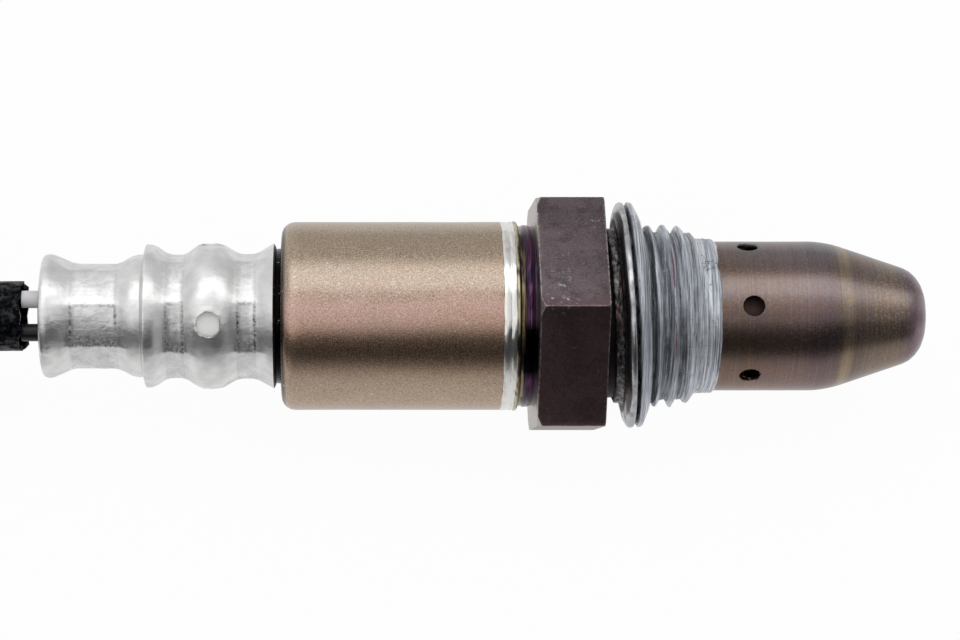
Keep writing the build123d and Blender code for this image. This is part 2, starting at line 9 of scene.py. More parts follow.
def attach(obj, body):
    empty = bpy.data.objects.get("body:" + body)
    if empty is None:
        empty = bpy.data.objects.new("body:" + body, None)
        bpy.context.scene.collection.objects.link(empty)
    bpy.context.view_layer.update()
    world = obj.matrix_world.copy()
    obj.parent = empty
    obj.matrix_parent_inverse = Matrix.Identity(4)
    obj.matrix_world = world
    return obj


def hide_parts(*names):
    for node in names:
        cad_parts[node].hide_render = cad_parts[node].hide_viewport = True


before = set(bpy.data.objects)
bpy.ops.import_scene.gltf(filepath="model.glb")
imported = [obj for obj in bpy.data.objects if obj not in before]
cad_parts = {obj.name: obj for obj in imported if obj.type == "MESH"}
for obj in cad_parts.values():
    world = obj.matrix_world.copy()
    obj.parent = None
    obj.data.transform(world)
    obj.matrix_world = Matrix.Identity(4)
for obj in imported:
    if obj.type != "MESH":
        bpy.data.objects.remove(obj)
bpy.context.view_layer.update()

bl_info = {
    "name": "Oxygen Sensor",
    "version": (1, 0, 0),
    "blender": (4, 5, 0),
    "location": "3D View > Sidebar > Sensor",
    "description": "Builds an exhaust oxygen sensor with its sleeved lead around the packed model",
    "category": "Mesh",
}

# Millimetres. Stations run along the sensor's axis from the seat face, positive to the tip.
MM = 0.001
SEAT_X = 12.8
AXIS_Z = 11.0
TURN = 2 * math.pi
# Faces above this size in square millimetres are flats and stay flat.
LARGEST_ROUND_FACE = 12
# Radius at which noise on round pieces is laid out
MEAN_RADIUS = 9


# --- shaping tools


def around(station, radius, roll=0.0):
    """A point in metres at a station and a radius, rolled from +Z towards -Y."""
    return Vector((station + SEAT_X, -radius * math.sin(roll), AXIS_Z + radius * math.cos(roll))) * MM


def read(point):
    """Station, radius and roll of a point given in metres."""
    x, y, z = point / MM
    return x - SEAT_X, math.hypot(y, z - AXIS_Z), math.atan2(-y, z - AXIS_Z)


def view_roll(clock):
    """Roll of a clock angle in degrees, which counts from the -Y side upwards."""
    return math.radians(90 - clock)


def outline(bm, corners, closed, fine, core):
    """A wire of (station, radius) corners, whose third value is the length rounded off beside the corner.
    Edges outside the core radius are divided to the fine length."""
    verts = [bm.verts.new(around(station, radius)) for station, radius, *_ in corners]
    pairs = list(zip(verts, verts[1:] + verts[:1]))
    for start, end in pairs if closed else pairs[:-1]:
        bm.edges.new((start, end))
    for vert, (_, _, *bend) in zip(verts, corners):
        if bend:
            bmesh.ops.bevel(bm, geom=[vert], offset=bend[0] * MM, segments=5, profile=0.5,
                            affect="VERTICES", material=-1)
    if fine:
        for edge in list(bm.edges):
            cuts = int(edge.calc_length() / (fine * MM))
            if cuts and min(read(vert.co)[1] for vert in edge.verts) > core:
                bmesh.ops.subdivide_edges(bm, edges=[edge], cuts=cuts)


def turned(corners, steps, closed=True, fine=None, shape=None, core=0.0):
    """Spin an outline about the sensor's axis, and move each point to the radius that shape gives."""
    bm = bmesh.new()
    outline(bm, corners, closed, fine, core)
    bmesh.ops.spin(bm, geom=bm.verts[:] + bm.edges[:], cent=(0, 0, AXIS_Z * MM), axis=(1, 0, 0),
                   angle=TURN, steps=steps, use_merge=True)
    bmesh.ops.remove_doubles(bm, verts=bm.verts[:], dist=1e-6)
    if shape:
        for vert in bm.verts:
            station, radius, roll = read(vert.co)
            if radius > 0.01:
                vert.co = around(station, shape(station, radius, roll), roll)
    bmesh.ops.recalc_face_normals(bm, faces=bm.faces[:])
    return bm


def grain_round(station, roll, pitch, reach, seed=0.0, octaves=3):
    """Smooth noise of about -1 to 1 on a round piece, with patches of pitch along it and reach round it."""
    across, up = (part * MEAN_RADIUS / reach for part in (math.cos(roll), math.sin(roll)))
    point = Vector((station / pitch + seed, across, up + seed))
    return noise.fractal(point, 1.0, 2.0, octaves, noise_basis="PERLIN_ORIGINAL")


def uneven(depth, pitch, reach, seed, octaves=3, core=0.0):
    """A shape for turned that gives its surface outside the core radius a noise of some depth."""
    def shape(station, radius, roll):
        return radius + depth * grain_round(station, roll, pitch, reach, seed, octaves) * (radius > core)
    return shape


def ease(low, high, value):
    """0 below low, 1 above high and smooth between them."""
    share = min(max((value - low) / (high - low), 0.0), 1.0)
    return share * share * (3 - 2 * share)


def drill(obj, station, holes, first, radius, depth, rim):
    """Cut a ring of round holes whose rims flare over the last stretch below the surface radius."""
    low, high = depth
    side = [(0, low), (radius, low), (radius, high - rim * 1.5), (radius + rim * 0.4, high - rim * 0.5),
            (radius + rim * 2, high + rim), (radius + rim * 2, high + 1), (0, high + 1)]
    bm = bmesh.new()
    for index in range(holes):
        roll = view_roll(first + index * 360 / holes)
        place = Matrix.Translation(around(station, 0)) @ Matrix.Rotation(roll, 4, "X")
        edge = [bm.verts.new(place @ (Vector((reach, 0, height)) * MM)) for reach, height in side]
        lines = [bm.edges.new(pair) for pair in zip(edge, edge[1:])]
        bmesh.ops.spin(bm, geom=edge + lines, cent=place.translation, axis=place.to_3x3() @ Vector((0, 0, 1)),
                       angle=TURN, steps=48, use_merge=True)
    bmesh.ops.remove_doubles(bm, verts=bm.verts[:], dist=1e-6)
    bmesh.ops.recalc_face_normals(bm, faces=bm.faces[:])
    cut = obj.modifiers.new("holes", "BOOLEAN")
    cut.object, cut.operation, cut.solver, cut.use_self = linked("cutter", bm), "DIFFERENCE", "EXACT", False
    mesh = cut.object.data
    apply_modifiers(obj)
    # the cutter's object goes with its mesh, and so does the empty slot that it left on the piece
    bpy.data.meshes.remove(mesh)
    obj.data.materials.clear()


def linked(name, data):
    """A new object in the scene; a bmesh is first made a mesh of the same name."""
    if isinstance(data, bmesh.types.BMesh):
        bm, data = data, bpy.data.meshes.new(name)
        bm.to_mesh(data)
        bm.free()
    obj = bpy.data.objects.new(name, data)
    bpy.context.scene.collection.objects.link(obj)
    return obj


def baked(obj):
    """A mesh of what a curve or an object's modifiers give."""
    graph = bpy.context.evaluated_depsgraph_get()
    return bpy.data.meshes.new_from_object(obj.evaluated_get(graph), depsgraph=graph)


def apply_modifiers(obj):
    """Turn what the modifiers give into the piece's own mesh."""
    made = baked(obj)
    obj.modifiers.clear()
    obj.data = made


def thicken(obj, wall):
    """Give a sheet its wall in millimetres, inwards."""
    sheet = obj.modifiers.new("wall", "SOLIDIFY")
    sheet.thickness, sheet.offset = wall * MM, -1.0
    apply_modifiers(obj)


def dress(obj, materials, slot, nodes, sharp=32.0):
    """Finish, body and CAD nodes of a piece, whose edges under the sharp angle are smooth. The slot is not
    used.
    """
    for material in materials:
        obj.data.materials.append(material)
    for face in obj.data.polygons:
        face.use_smooth = face.area < LARGEST_ROUND_FACE * MM * MM
    obj.data.set_sharp_from_angle(angle=math.radians(sharp))
    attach(obj, "root")
    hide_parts(*nodes)


def piece(name, bm, *looks):
    """Link a finished bmesh as a piece of the sensor."""
    dress(linked(name, bm), *looks)


def paint(material, *nodes):
    """Give CAD nodes their finish."""
    for node in nodes:
        held = bpy.data.objects[node].data.materials
        held.clear()
        held.append(material)


def set_marks(bm, **marks):
    """Give each point values for its finish, by functions of station, radius and roll."""
    for name, value in marks.items():
        layer = bm.verts.layers.float.new(name)
        for vert in bm.verts:
            vert[layer] = value(*read(vert.co))


def four(kind):
    """Names of the four nodes of a kind."""
    return [f"{kind}_{number}" for number in range(1, 5)]


# --- material tools


def linear(colour):
    """An sRGB hex colour as linear values."""
    parts = [int(colour[i:i + 2], 16) / 255 for i in (1, 3, 5)]
    return [c / 12.92 if c <= 0.04045 else ((c + 0.055) / 1.055) ** 2.4 for c in parts] + [1.0]


def add_node(tree, kind, *values, stops=(), **settings):
    """Add a shader node and return its output, or all its outputs if there are several.

    Values fill its sockets in order, or one dict gives them by name; another node's output is linked.
    A kind in capitals is what a Math node works out.
    """
    if kind.isupper():
        kind, settings = "Math", {"operation": kind}
    made = tree.nodes.new("ShaderNode" + kind)
    for key, value in settings.items():
        setattr(made, key, value)
    if values and isinstance(values[0], dict):
        pairs = [(made.inputs[key], value) for key, value in values[0].items()]
    else:
        pairs = zip([socket for socket in made.inputs if socket.enabled], values)
    for socket, value in pairs:
        if isinstance(value, bpy.types.NodeSocket):
            tree.links.new(value, socket)
        else:
            socket.default_value = linear(value) if isinstance(value, str) else value
    steps = made.color_ramp.elements if stops else []
    while len(steps) < len(stops):
        steps.new(1.0)
    for step, (place, colour) in zip(steps, stops):
        step.position, step.color = place, linear(colour)
    given = [socket for socket in made.outputs if socket.enabled]
    return given[0] if len(given) == 1 else made.outputs


def emptied(holder):
    """Clear a material's or world's nodes, and return the function that adds nodes to it."""
    holder.use_nodes = True
    holder.node_tree.nodes.clear()
    return partial(add_node, holder.node_tree)


def new_material(name):
    """An empty material and the function that adds nodes to it."""
    material = bpy.data.materials.new(name)
    return material, emptied(material)


def sensor_place(add):
    """Millimetres from the seat on the sensor's axis: X is the station."""
    return add("Mapping", {"Vector": add("TexCoord")["Object"], "Scale": (1 / MM,) * 3,
                           "Location": (-SEAT_X, 0, -AXIS_Z)})


def station_of(add):
    """Station along the sensor's axis."""
    return add("SeparateXYZ", sensor_place(add))["X"]


def clock_of(add):
    """Angle round the sensor's axis in degrees, 0 at -Y and 90 at the top."""
    parts = add("SeparateXYZ", sensor_place(add))
    return add("MULTIPLY", add("ARCTAN2", parts["Z"], add("MULTIPLY", parts["Y"], -1.0)), 180 / math.pi)


def clock_from(add, centre):
    """Degrees between the clock angle and a centre."""
    return add("ABSOLUTE", add("SUBTRACT", clock_of(add), centre))


def cloud(add, along, across, detail=3.0, rough=0.55):
    """Noise value of about 0 to 1 with patches along mm long and across mm wide."""
    place = add("Mapping", {"Vector": sensor_place(add), "Scale": (1 / along, 1 / across, 1 / across)})
    return add("TexNoise", {"Vector": place, "Scale": 1.0, "Detail": detail, "Roughness": rough})["Fac"]


def mark_of(add, name):
    """A value that the piece's own mesh holds."""
    return add("Attribute", attribute_name=name)["Fac"]


def where(add, *ranges):
    """Share where all values have passed their ranges: (value, low, high)[, first share, last share]."""
    return reduce(partial(add, "MULTIPLY"), [add("MapRange", *part) for part in ranges])


def coats(add, colour, *layers):
    """Colours laid over one another: (colour, share[, strength]), or (colour, value, low, high ...)."""
    for laid, share, *more in layers:
        if len(more) == 1:
            share = add("MULTIPLY", share, *more)
        elif more:
            share = where(add, (share, *more))
        colour = add("Mix", share, colour, laid, data_type="RGBA")
    return colour


def surface(material, add, bumps, colour, rough, normal=None, **sockets):
    """Close a material with its shader. Each bump is (height, strength, depth in mm), and the roughness
    is an output or number, or (pattern, low, high)."""
    for height, strength, depth in bumps:
        links = {"Height": height, "Strength": strength, "Distance": depth * MM}
        normal = add("Bump", {**links, "Normal": normal} if normal else links)
    if isinstance(rough, tuple):
        pattern, low, high = rough
        rough = where(add, (pattern, 0.3, 0.7, low, high))
    named = {key.replace("_", " "): value for key, value in sockets.items()}
    shader = add("BsdfPrincipled", {"Base Color": colour, "Roughness": rough, "Normal": normal, **named})
    add("OutputMaterial", shader)
    return material


# --- metals


def drawn_steel(colours):
    """Stainless sheet, deep drawn and crimped: pale and satin, with soft dents, grey tool marks, and painted
    shade on the lower edge of one flat.
    """
    material, add = new_material("drawn_stainless_satin")
    soft = cloud(add, 1.4, 1.4)
    # distances to the ends and corners of the crimp bands
    near = mark_of(add, "jaw_end")
    inside = where(add, (near, -0.15, -0.1))
    clock = clock_of(add)
    # one jaw bit harder than the others
    worst = where(add, (clock_from(add, FLAT_CENTRE), 26, 23, 0.12, 1.0),
                  (cloud(add, 1.6, 1.6, 1.0), 0.35, 0.55, 0.5, 1.0), (clock, 66, 50, 0.45, 1.0))
    corner = add("MULTIPLY", where(add, (mark_of(add, "jaw_corner"), 0.3, 0.1)), inside)
    marks_and_shade = add("MAXIMUM", where(add, (add("ABSOLUTE", near), 0.2, 0.06)), corner)
    # and left grit along the lower edge of its flat; the dark there is partly that grit and partly painted
    # shade
    low_edge_grit_and_shade = add("MULTIPLY", where(add, (clock, 40, 30)), inside)
    marks_and_shade = add("MULTIPLY", add("MAXIMUM", marks_and_shade, add("MULTIPLY", low_edge_grit_and_shade, 0.6)), worst)
    rubbed = add("MULTIPLY", inside, where(add, (cloud(add, 0.4, 0.3, 4.0, 0.7), 0.45, 0.7)))
    # grit is drawn at 0.3 mm so that it shows
    grit = where(add, (cloud(add, 0.3, 0.26, 4.0, 0.75), 0.45, 0.58))
    colour = coats(add, colours.cover_light, (colours.cover_shade, soft, 0.3, 0.7),
                   ("#A3A3A3", rubbed, 0.35),
                   ("#2E2C2B", add("MULTIPLY", marks_and_shade, where(add, (grit, 0.0, 1.0, 0.12, 1.0)))))
    # dents, drawing lines, orange peel and fine grain
    bumps = [(soft, 0.16, 0.2), (cloud(add, 6.0, 0.35), 0.1, 0.1),
             (cloud(add, 0.55, 0.5, 2.0), 0.3, 0.06), (cloud(add, 0.16, 0.16, 2.0), 0.3, 0.03)]
    rough = add("ADD", where(add, (soft, 0.3, 0.7, 0.3, 0.42)), add("MULTIPLY", marks_and_shade, 0.2))
    return surface(material, add, bumps, colour, rough, Metallic=1.0)


def tinted_shell_steel(colours):
    """Stainless shell, blasted and browned by heat: an even fine grain, with a pink band along one side."""
    material, add = new_material("blasted_stainless_heat_brown")
    turn = add("ADD", clock_of(add), where(add, (cloud(add, 12.0, 6.0, 2.0), 0.3, 0.7, -6.0, 6.0)))
    # heat tint round the axis with its pink band; the stops round the top, where the highlight falls, are
    # darker as painted shade
    tint = add("ValToRGB", where(add, (turn, 10, 130)), stops=[
        (0.0, "#B7A08C"), (0.1, "#B79C84"), (0.26, "#B8947C"), (0.34, "#BE9A8A"), (0.43, "#C6A296"),
        (0.49, "#AE9686"), (0.58, "#A9998A"), (0.68, "#AE9B87"), (0.88, "#AA9883"),
        (1.0, "#B2A192")])["Color"]
    blasted = cloud(add, 0.13, 0.13, 2.0, 0.6)
    patch = cloud(add, 5.0, 3.0, 2.0)
    # the mouth of the gap behind the shell is painted near black as shade, and the skin is worn pale in spots
    colour = coats(add, tint, (colours.shell_shade, patch, 0.4, 0.75, 0.0, 0.25),
                   ("#DED3C8", blasted, 0.5, 0.7, 0.0, 0.5), ("#6A5548", blasted, 0.5, 0.3, 0.0, 0.5),
                   ("#0C0907", station_of(add), -31.15, -31.5),
                   ("#C8CCCC", cloud(add, 0.9, 0.7, 4.0, 0.7), 0.64, 0.7, 0.0, 0.6))
    return surface(material, add, [(patch, 0.06, 0.2), (blasted, 0.3, 0.02)], colour, (blasted, 0.24, 0.32),
                   Metallic=1.0)


def weld_steel():
    """Laser weld bead: bare molten steel, bright and rippled, dull where smoke settled."""
    material, add = new_material("stainless_weld_bead")
    ripple = cloud(add, 0.4, 1.2, 2.0)
    lines = cloud(add, 0.14, 5.0, 1.0)
    colour = coats(add, "#CFCDC8", ("#E6E5E1", ripple, 0.3, 0.5))
    return surface(material, add, [(ripple, 0.22, 0.08), (lines, 0.4, 0.04)], colour, (ripple, 0.24, 0.14),
                   Metallic=1.0)


def neck_steel():
    """Turned neck beside the weld: fine tool lines, tempered olive, purple and blue-black by the heat, and
    painted shade near black on one side.
    """
    material, add = new_material("turned_steel_tempered")
    lines = cloud(add, 0.18, 14.0, 2.0)
    drift = cloud(add, 0.7, 3.0, 2.0)
    along = where(add, (add("ADD", station_of(add), add("MULTIPLY", drift, 0.5)), -8.95, -7.0))
    tint = add("ValToRGB", along, stops=[
        (0.0, "#C3BDA6"), (0.2, "#A5987A"), (0.4, "#8A7858"), (0.46, "#54404C"), (0.6, "#40305A"),
        (0.7, "#84505F"), (0.8, "#4C3456"), (0.94, "#2C2030"), (1.0, "#4A4244")])["Color"]
    # painted shade: the side that lies in the groove's shade and mirrors the dark hexagon face is painted
    # near black
    groove_shade = where(add, (clock_from(add, 33.0), 22, 14), (along, 0.36, 0.46))
    colour = coats(add, tint, ("#23202E", drift, 0.5, 0.62, 0.0, 0.85),
                   ("#1D1820", lines, 0.5, 0.36, 0.0, 0.6), ("#0A070B", groove_shade))
    return surface(material, add, [(lines, 0.8, 0.06)], colour, (lines, 0.17, 0.28), Metallic=1.0)


def hexagon_steel(colours):
    """Hexagon of the hull: cold-drawn steel with a dark oxide skin, rubbed pale on its edges and scuffed."""
    material, add = new_material("oxidised_hexagon_steel")
    fine = cloud(add, 0.22, 0.22, 3.0, 0.75)
    smudge = where(add, (cloud(add, 1.8, 1.4, 4.0, 0.65), 0.5, 0.64))
    # painted reflection: the underside is lighter where it mirrors the white floor
    underside_reflection = where(add, (add("SeparateXYZ", sensor_place(add))["Z"], 0.1, -0.3))
    # the turned face that looks to the shell is paler, less so on its near side
    normal = add("NewGeometry")["Normal"]
    turned_face = where(add, (add("SeparateXYZ", normal)["X"], -0.4, -0.6), (fine, 0.3, 0.6, 0.35, 1.0),
                        (clock_from(add, 50.0), 28, 50, 0.15, 1.0))
    scuff = where(add, (cloud(add, 0.5, 0.35, 4.0, 0.7), 0.58, 0.7, 0.0, 0.8),
                  (cloud(add, 3.4, 3.0, 1.0), 0.56, 0.66))
    # a rounded normal differs from the true one only beside an edge, where the skin is rubbed off
    turned_by = add("VectorMath", add("Bevel", 0.28 * MM, samples=6), normal, operation="DOT_PRODUCT")
    rubbed = where(add, (turned_by, 0.985, 0.93), (cloud(add, 0.7, 0.5, 3.0, 0.7), 0.38, 0.58))
    colour = coats(add, colours.hexagon_skin, ("#544A4D", cloud(add, 3.2, 3.2, 2.0), 0.35, 0.65),
                   ("#3D373B", smudge, 0.6), ("#887C7D", fine, 0.5, 0.75, 0.0, 0.45),
                   ("#3A3033", fine, 0.48, 0.3, 0.0, 0.4), ("#B3ABA6", underside_reflection, 0.75),
                   ("#5C4144", clock_of(add), 66, 60, 0.0, 0.5), ("#C9C2BD", turned_face),
                   ("#A9B6BE", scuff), ("#B7B0AA", rubbed))
    return surface(material, add, [(fine, 0.35, 0.04)], colour, (fine, 0.34, 0.44), Metallic=1.0)


def bare_steel(colours):
    """Turned and ground steel of the washer ring: satin grey with traces of paste and orange flash rust."""
    material, add = new_material("pressed_steel_ring")
    patch = cloud(add, 0.9, 1.4)
    # the bead mark is grime on the bead, and painted shade in the ring's slit
    marks_and_shade = mark_of(add, "bead")
    crust = where(add, (cloud(add, 0.3, 0.5, 4.0, 0.7), 0.35, 0.65))
    rust = where(add, (cloud(add, 0.2, 1.6), 0.58, 0.66, 0.0, 0.8))
    colour = coats(add, colours.ring_light, ("#8B8C90", patch, 0.35, 0.65),
                   ("#1E1B1D", add("MULTIPLY", marks_and_shade, where(add, (crust, 0.0, 1.0, 0.97, 0.35)))),
                   ("#8A4E30", add("MULTIPLY", marks_and_shade, rust)))
    bumps = [(cloud(add, 0.12, 0.3, 2.0), 0.3, 0.03), (add("MULTIPLY", patch, marks_and_shade), 0.8, 0.25)]
    rough = add("ADD", where(add, (patch, 0.3, 0.7, 0.22, 0.34)), add("MULTIPLY", marks_and_shade, 0.2))
    return surface(material, add, bumps, colour, rough, Metallic=1.0)


def thread_paste(colours):
    """Anti-seize paste: grey grease full of metal flakes, dragged round the thread and dried in lines."""
    material, add = new_material("anti_seize_paste")
    drag = cloud(add, 0.16, 6.0, 4.0, 0.7)
    broad = cloud(add, 0.9, 3.0)
    flake = cloud(add, 0.12, 0.12, 2.0)
    crest = mark_of(add, "crest")
    # thin over the thread, where the dark steel shows through it, and thick on the pilot
    thin = where(add, (add("ADD", station_of(add), broad), 8.9, 8.2))
    # painted shade darkens the valleys between the crests
    valley_shade = add("MULTIPLY", thin, where(add, (add("ADD", crest, drag), 0.85, 0.45)))
    strand = where(add, (cloud(add, 0.1, 7.0), 0.47, 0.36))
    # contour lines of a stretched noise make a few long thin wrinkles
    level = add("ABSOLUTE", add("SUBTRACT", cloud(add, 1.1, 2.0, 2.0), 0.5))
    wrinkle = where(add, (level, 0.016, 0.004), (cloud(add, 2.6, 2.6, 0.0), 0.6, 0.64))
    rub = add("MULTIPLY", mark_of(add, "bare"), where(add, (crest, 0.9, 0.98), (broad, 0.42, 0.52)))
    colour = coats(add, colours.paste_shade, (colours.paste_light, drag, 0.4, 0.58),
                   ("#8E939D", thin, 0.12), ("#45484F", strand, 0.75),
                   ("#393B41", valley_shade, 0.7), ("#E4E7EC", flake, 0.55, 0.7, 0.0, 0.3),
                   ("#3B3E45", wrinkle, 0.75), ("#7E5E68", rub))
    bumps = [(drag, 1.0, 0.17), (strand, -0.5, 0.05), (flake, 0.4, 0.04), (wrinkle, -0.6, 0.1)]
    return surface(material, add, bumps, colour, (flake, 0.38, 0.5), Metallic=0.9)


def tempered_tube_steel():
    """Stainless tip tube, drawn and run hot: brown satin with violet, and a straw ring at the cone."""
    material, add = new_material("drawn_stainless_tempered")
    station, clock = station_of(add), clock_of(add)
    drift = cloud(add, 4.0, 5.0, 2.0)
    speck = cloud(add, 0.22, 0.22, 3.0, 0.7)
    lines = cloud(add, 0.12, 12.0, 2.0)
    hue = cloud(add, 0.45, 0.9, 3.0, 0.7)
    shift = add("ADD", add("MULTIPLY", drift, 0.5), add("MULTIPLY", speck, 0.5))
    tint = add("ValToRGB", where(add, (add("ADD", station, shift), 10.5, 31.5)), stops=[
        (0.0, "#7C6A60"), (0.15, "#7E685C"), (0.35, "#846E68"), (0.52, "#786668"), (0.565, "#7C6C62"),
        (0.59, "#9C8A72"), (0.612, "#9C8A72"), (0.64, "#7A6A62"), (0.72, "#85746A"), (0.84, "#877668"),
        (0.91, "#7C6A70"), (1.0, "#887784")])["Color"]
    drifted = add("ADD", station, drift)
    gold = where(add, (speck, 0.5, 0.62), (drifted, 25.2, 26.6), (drifted, 29.6, 28.4),
                 (clock, 38, 60, 0.3, 1.0))
    # painted highlight: a blue-grey sheen on the upper side where the highlight falls, with painted shade in
    # dark bands above and below it
    highlight_sheen = where(add, (clock, 62, 74), (clock, 92, 82))
    shade_band = where(add, (clock, 66, 57), (clock, 38, 50))
    upper = where(add, (clock, 84, 91), (clock, 106, 98))
    rim = where(add, (clock, 85, 120, 0.0, 0.6), (drift, 0.35, 0.6))
    colour = coats(add, tint, ("#8D8686", highlight_sheen, 0.45),
                   ("#514446", shade_band, 0.5), ("#574C4A", upper, 0.4),
                   ("#8C6A54", hue, 0.52, 0.66, 0.0, 0.32),
                   ("#676478", hue, 0.48, 0.34, 0.0, 0.35), ("#6C727C", rim),
                   ("#AE9874", gold, 0.45), ("#B5A592", speck, 0.54, 0.75, 0.0, 0.35),
                   ("#574750", speck, 0.46, 0.28, 0.0, 0.4), ("#B09C90", lines, 0.52, 0.68, 0.0, 0.12),
                   ("#4A3C40", lines, 0.48, 0.32, 0.0, 0.14))
    return surface(material, add, [(lines, 0.3, 0.03), (speck, 0.25, 0.03)], colour, (speck, 0.24, 0.34),
                   Metallic=1.0)


def soot_and_shade_steel(name, light, dark):
    """Dark steel: a thin brown soot on the inner tube, and painted shade in the thread's relief groove."""
    material, add = new_material(name)
    patch = cloud(add, 0.8, 0.8)
    return surface(material, add, [(patch, 0.2, 0.05)], coats(add, light, (dark, patch)), 0.55, Metallic=0.8)


def plain_metal(name, light, dark, rough):
    """A stamped metal with a fine rolled grain."""
    material, add = new_material(name)
    fine = cloud(add, 0.4, 0.12)
    return surface(material, add, [(fine, 0.15, 0.03)], coats(add, light, (dark, fine)),
                   (fine, rough - 0.05, rough + 0.08), Metallic=1.0)


# --- plastics, rubbers and ceramics


def coated_sleeve(colours):
    """Woven sleeve with a black rubbery coat: strands of 0.5 mm show through it, glossy on their tops."""
    material, add = new_material("coated_woven_sleeve")
    # U counts pairs of strands along the sleeve and V pairs round it
    run = add("SeparateXYZ", add("UVMap", uv_map="sleeve"))
    one, other = (add("SINE", add("MULTIPLY", add(way, run["X"], run["Y"]), math.pi))
                  for way in ("ADD", "SUBTRACT"))
    patch = cloud(add, 0.7, 0.7, 3.0, 0.65)
    height = add("ADD", add("MULTIPLY", add("ADD", one, other), 0.3), patch)
    colour = coats(add, colours.sleeve, ("#141A26", patch, 0.45, 0.7))
    return surface(material, add, [(height, 0.6, 0.12)], colour, (patch, 0.22, 0.45),
                   Specular_IOR_Level=where(add, (patch, 0.46, 0.72, 0.03, 0.45)))


def wire_jacket(name, light, dark):
    """Silicone wire insulation: soft, slightly dusty and satin."""
    material, add = new_material(name)
    patch = cloud(add, 1.6, 0.6)
    return surface(material, add, [(cloud(add, 0.15, 0.15, 2.0), 0.15, 0.02)],
                   coats(add, light, (dark, patch)), (patch, 0.3, 0.42), Specular_IOR_Level=0.35)


def moulded(name, light, dark, rough):
    """Moulded plastic or rubber: a fine spark-eroded grain, faint flow marks and soft edges."""
    material, add = new_material(name)
    flow = cloud(add, 7.0, 3.0, 2.0)
    return surface(material, add, [(cloud(add, 0.18, 0.18, 2.0), 0.35, 0.03)],
                   coats(add, light, (dark, flow)), (flow, rough - 0.05, rough + 0.07),
                   add("Bevel", 0.3 * MM, samples=4))


def porous_white(name, light, dark):
    """Sintered or pressed white body: chalky, with fine pores."""
    material, add = new_material(name)
    pores = cloud(add, 0.2, 0.2)
    return surface(material, add, [(pores, 0.3, 0.04)], coats(add, light, (dark, pores)), 0.75)


# --- properties


def length(name, description, default):
    """A length property in metres."""
    return bpy.props.FloatProperty(name=name, description=description, default=default, unit="LENGTH")


def tone(name, description, colour):
    """A colour property whose default is given as sRGB hex."""
    return bpy.props.FloatVectorProperty(name=name, description=description, subtype="COLOR", size=4,
                                         min=0.0, max=1.0, default=linear(colour))


class SensorSizes(bpy.types.PropertyGroup):
    """Sizes of the sensor's own pieces."""

    across_flats: length("Across flats", "Width of the hexagon", 0.022)
    thread_pitch: length("Thread pitch", "Distance between thread crests", 0.0015)
    gas_hole: length("Gas hole", "Diameter of the holes in the tip tube", 0.0019)
    vent_hole: length("Vent hole", "Diameter of the holes in the vent cover", 0.0024)
    sleeve_diameter: length("Sleeve diameter", "Outer diameter of the lead's sleeve", 0.0069)
    sleeve_length: length("Sleeve length", "Length of the sleeved lead", 0.298)


class SensorColours(bpy.types.PropertyGroup):
    """Colours of the sensor's finishes."""

    cover_light: tone("Cover", "Bright tone of the vent cover", "#EBEBEA")
    cover_shade: tone("Cover shade", "Dull tone of the vent cover", "#D6D6D6")
    shell_shade: tone("Shell shade", "Darker patches of the shell", "#A08C7C")
    hexagon_skin: tone("Hexagon skin", "Oxide skin of the hexagon", "#665C5F")
    ring_light: tone("Ring", "Bright tone of the sealing ring", "#C2C3C6")
    paste_light: tone("Paste", "Bright tone of the thread's paste", "#E6EAF0")
    paste_shade: tone("Paste shade", "Dull tone of the thread's paste", "#9AA0AA")
    sleeve: tone("Sleeve", "Black coat of the lead's sleeve", "#040506")


# --- operators

HEX_REAR, HEX_FRONT = -7.15, -0.6
REAR_FACE_RADIUS, FRONT_FACE_RADIUS, BLANK_RADIUS = 12.2, 12.5, 12.9
CHAMFER_SLOPE = math.tan(math.radians(40))
WORN_EDGE, WORN_ANGLE = 0.05, math.radians(11)


def hexagon():
    """Spin the chamfered blank, then cut its six flats."""
    rear = (BLANK_RADIUS - REAR_FACE_RADIUS) * CHAMFER_SLOPE
    front = (BLANK_RADIUS - FRONT_FACE_RADIUS) * CHAMFER_SLOPE
    flat = bpy.context.scene.sensor_sizes.across_flats / MM / 2
    bm = turned([
        (HEX_REAR, 0), (HEX_REAR, REAR_FACE_RADIUS), (HEX_REAR + rear, BLANK_RADIUS),
        (HEX_FRONT - front, BLANK_RADIUS), (HEX_FRONT, FRONT_FACE_RADIUS), (HEX_FRONT, 0)
    ], steps=180, closed=False)
    for index in range(6):
        roll = TURN * index / 6
        cut = bmesh.ops.bisect_plane(bm, geom=bm.verts[:] + bm.edges[:] + bm.faces[:],
                                     plane_co=around(0, flat, roll), clear_outer=True, dist=1e-7,
                                     plane_no=(0, -math.sin(roll), math.cos(roll)))
        rim = [e for e in cut["geom_cut"] if isinstance(e, bmesh.types.BMEdge)]
        bmesh.ops.holes_fill(bm, edges=rim, sides=0)
    bmesh.ops.recalc_face_normals(bm, faces=bm.faces[:])
    worn = [e for e in bm.edges if len(e.link_faces) == 2 and e.calc_face_angle() > WORN_ANGLE]
    bmesh.ops.bevel(bm, geom=worn, offset=WORN_EDGE * MM, segments=2, profile=0.5, affect="EDGES",
                    clamp_overlap=True, material=-1)
    return bm


# Thread: radii of its crests, its roots and the pilot before it, and a station where a crest is on top
CREST_RADIUS, ROOT_RADIUS, PILOT_RADIUS, CREST_STATION = 8.88, 8.16, 7.62, 3.88
# Bore of the hull's turned pieces, and the relief groove between seat and thread with its front end
BORE_RADIUS, RELIEF_RADIUS, RELIEF_END = 7.0, 8.0, 3.0


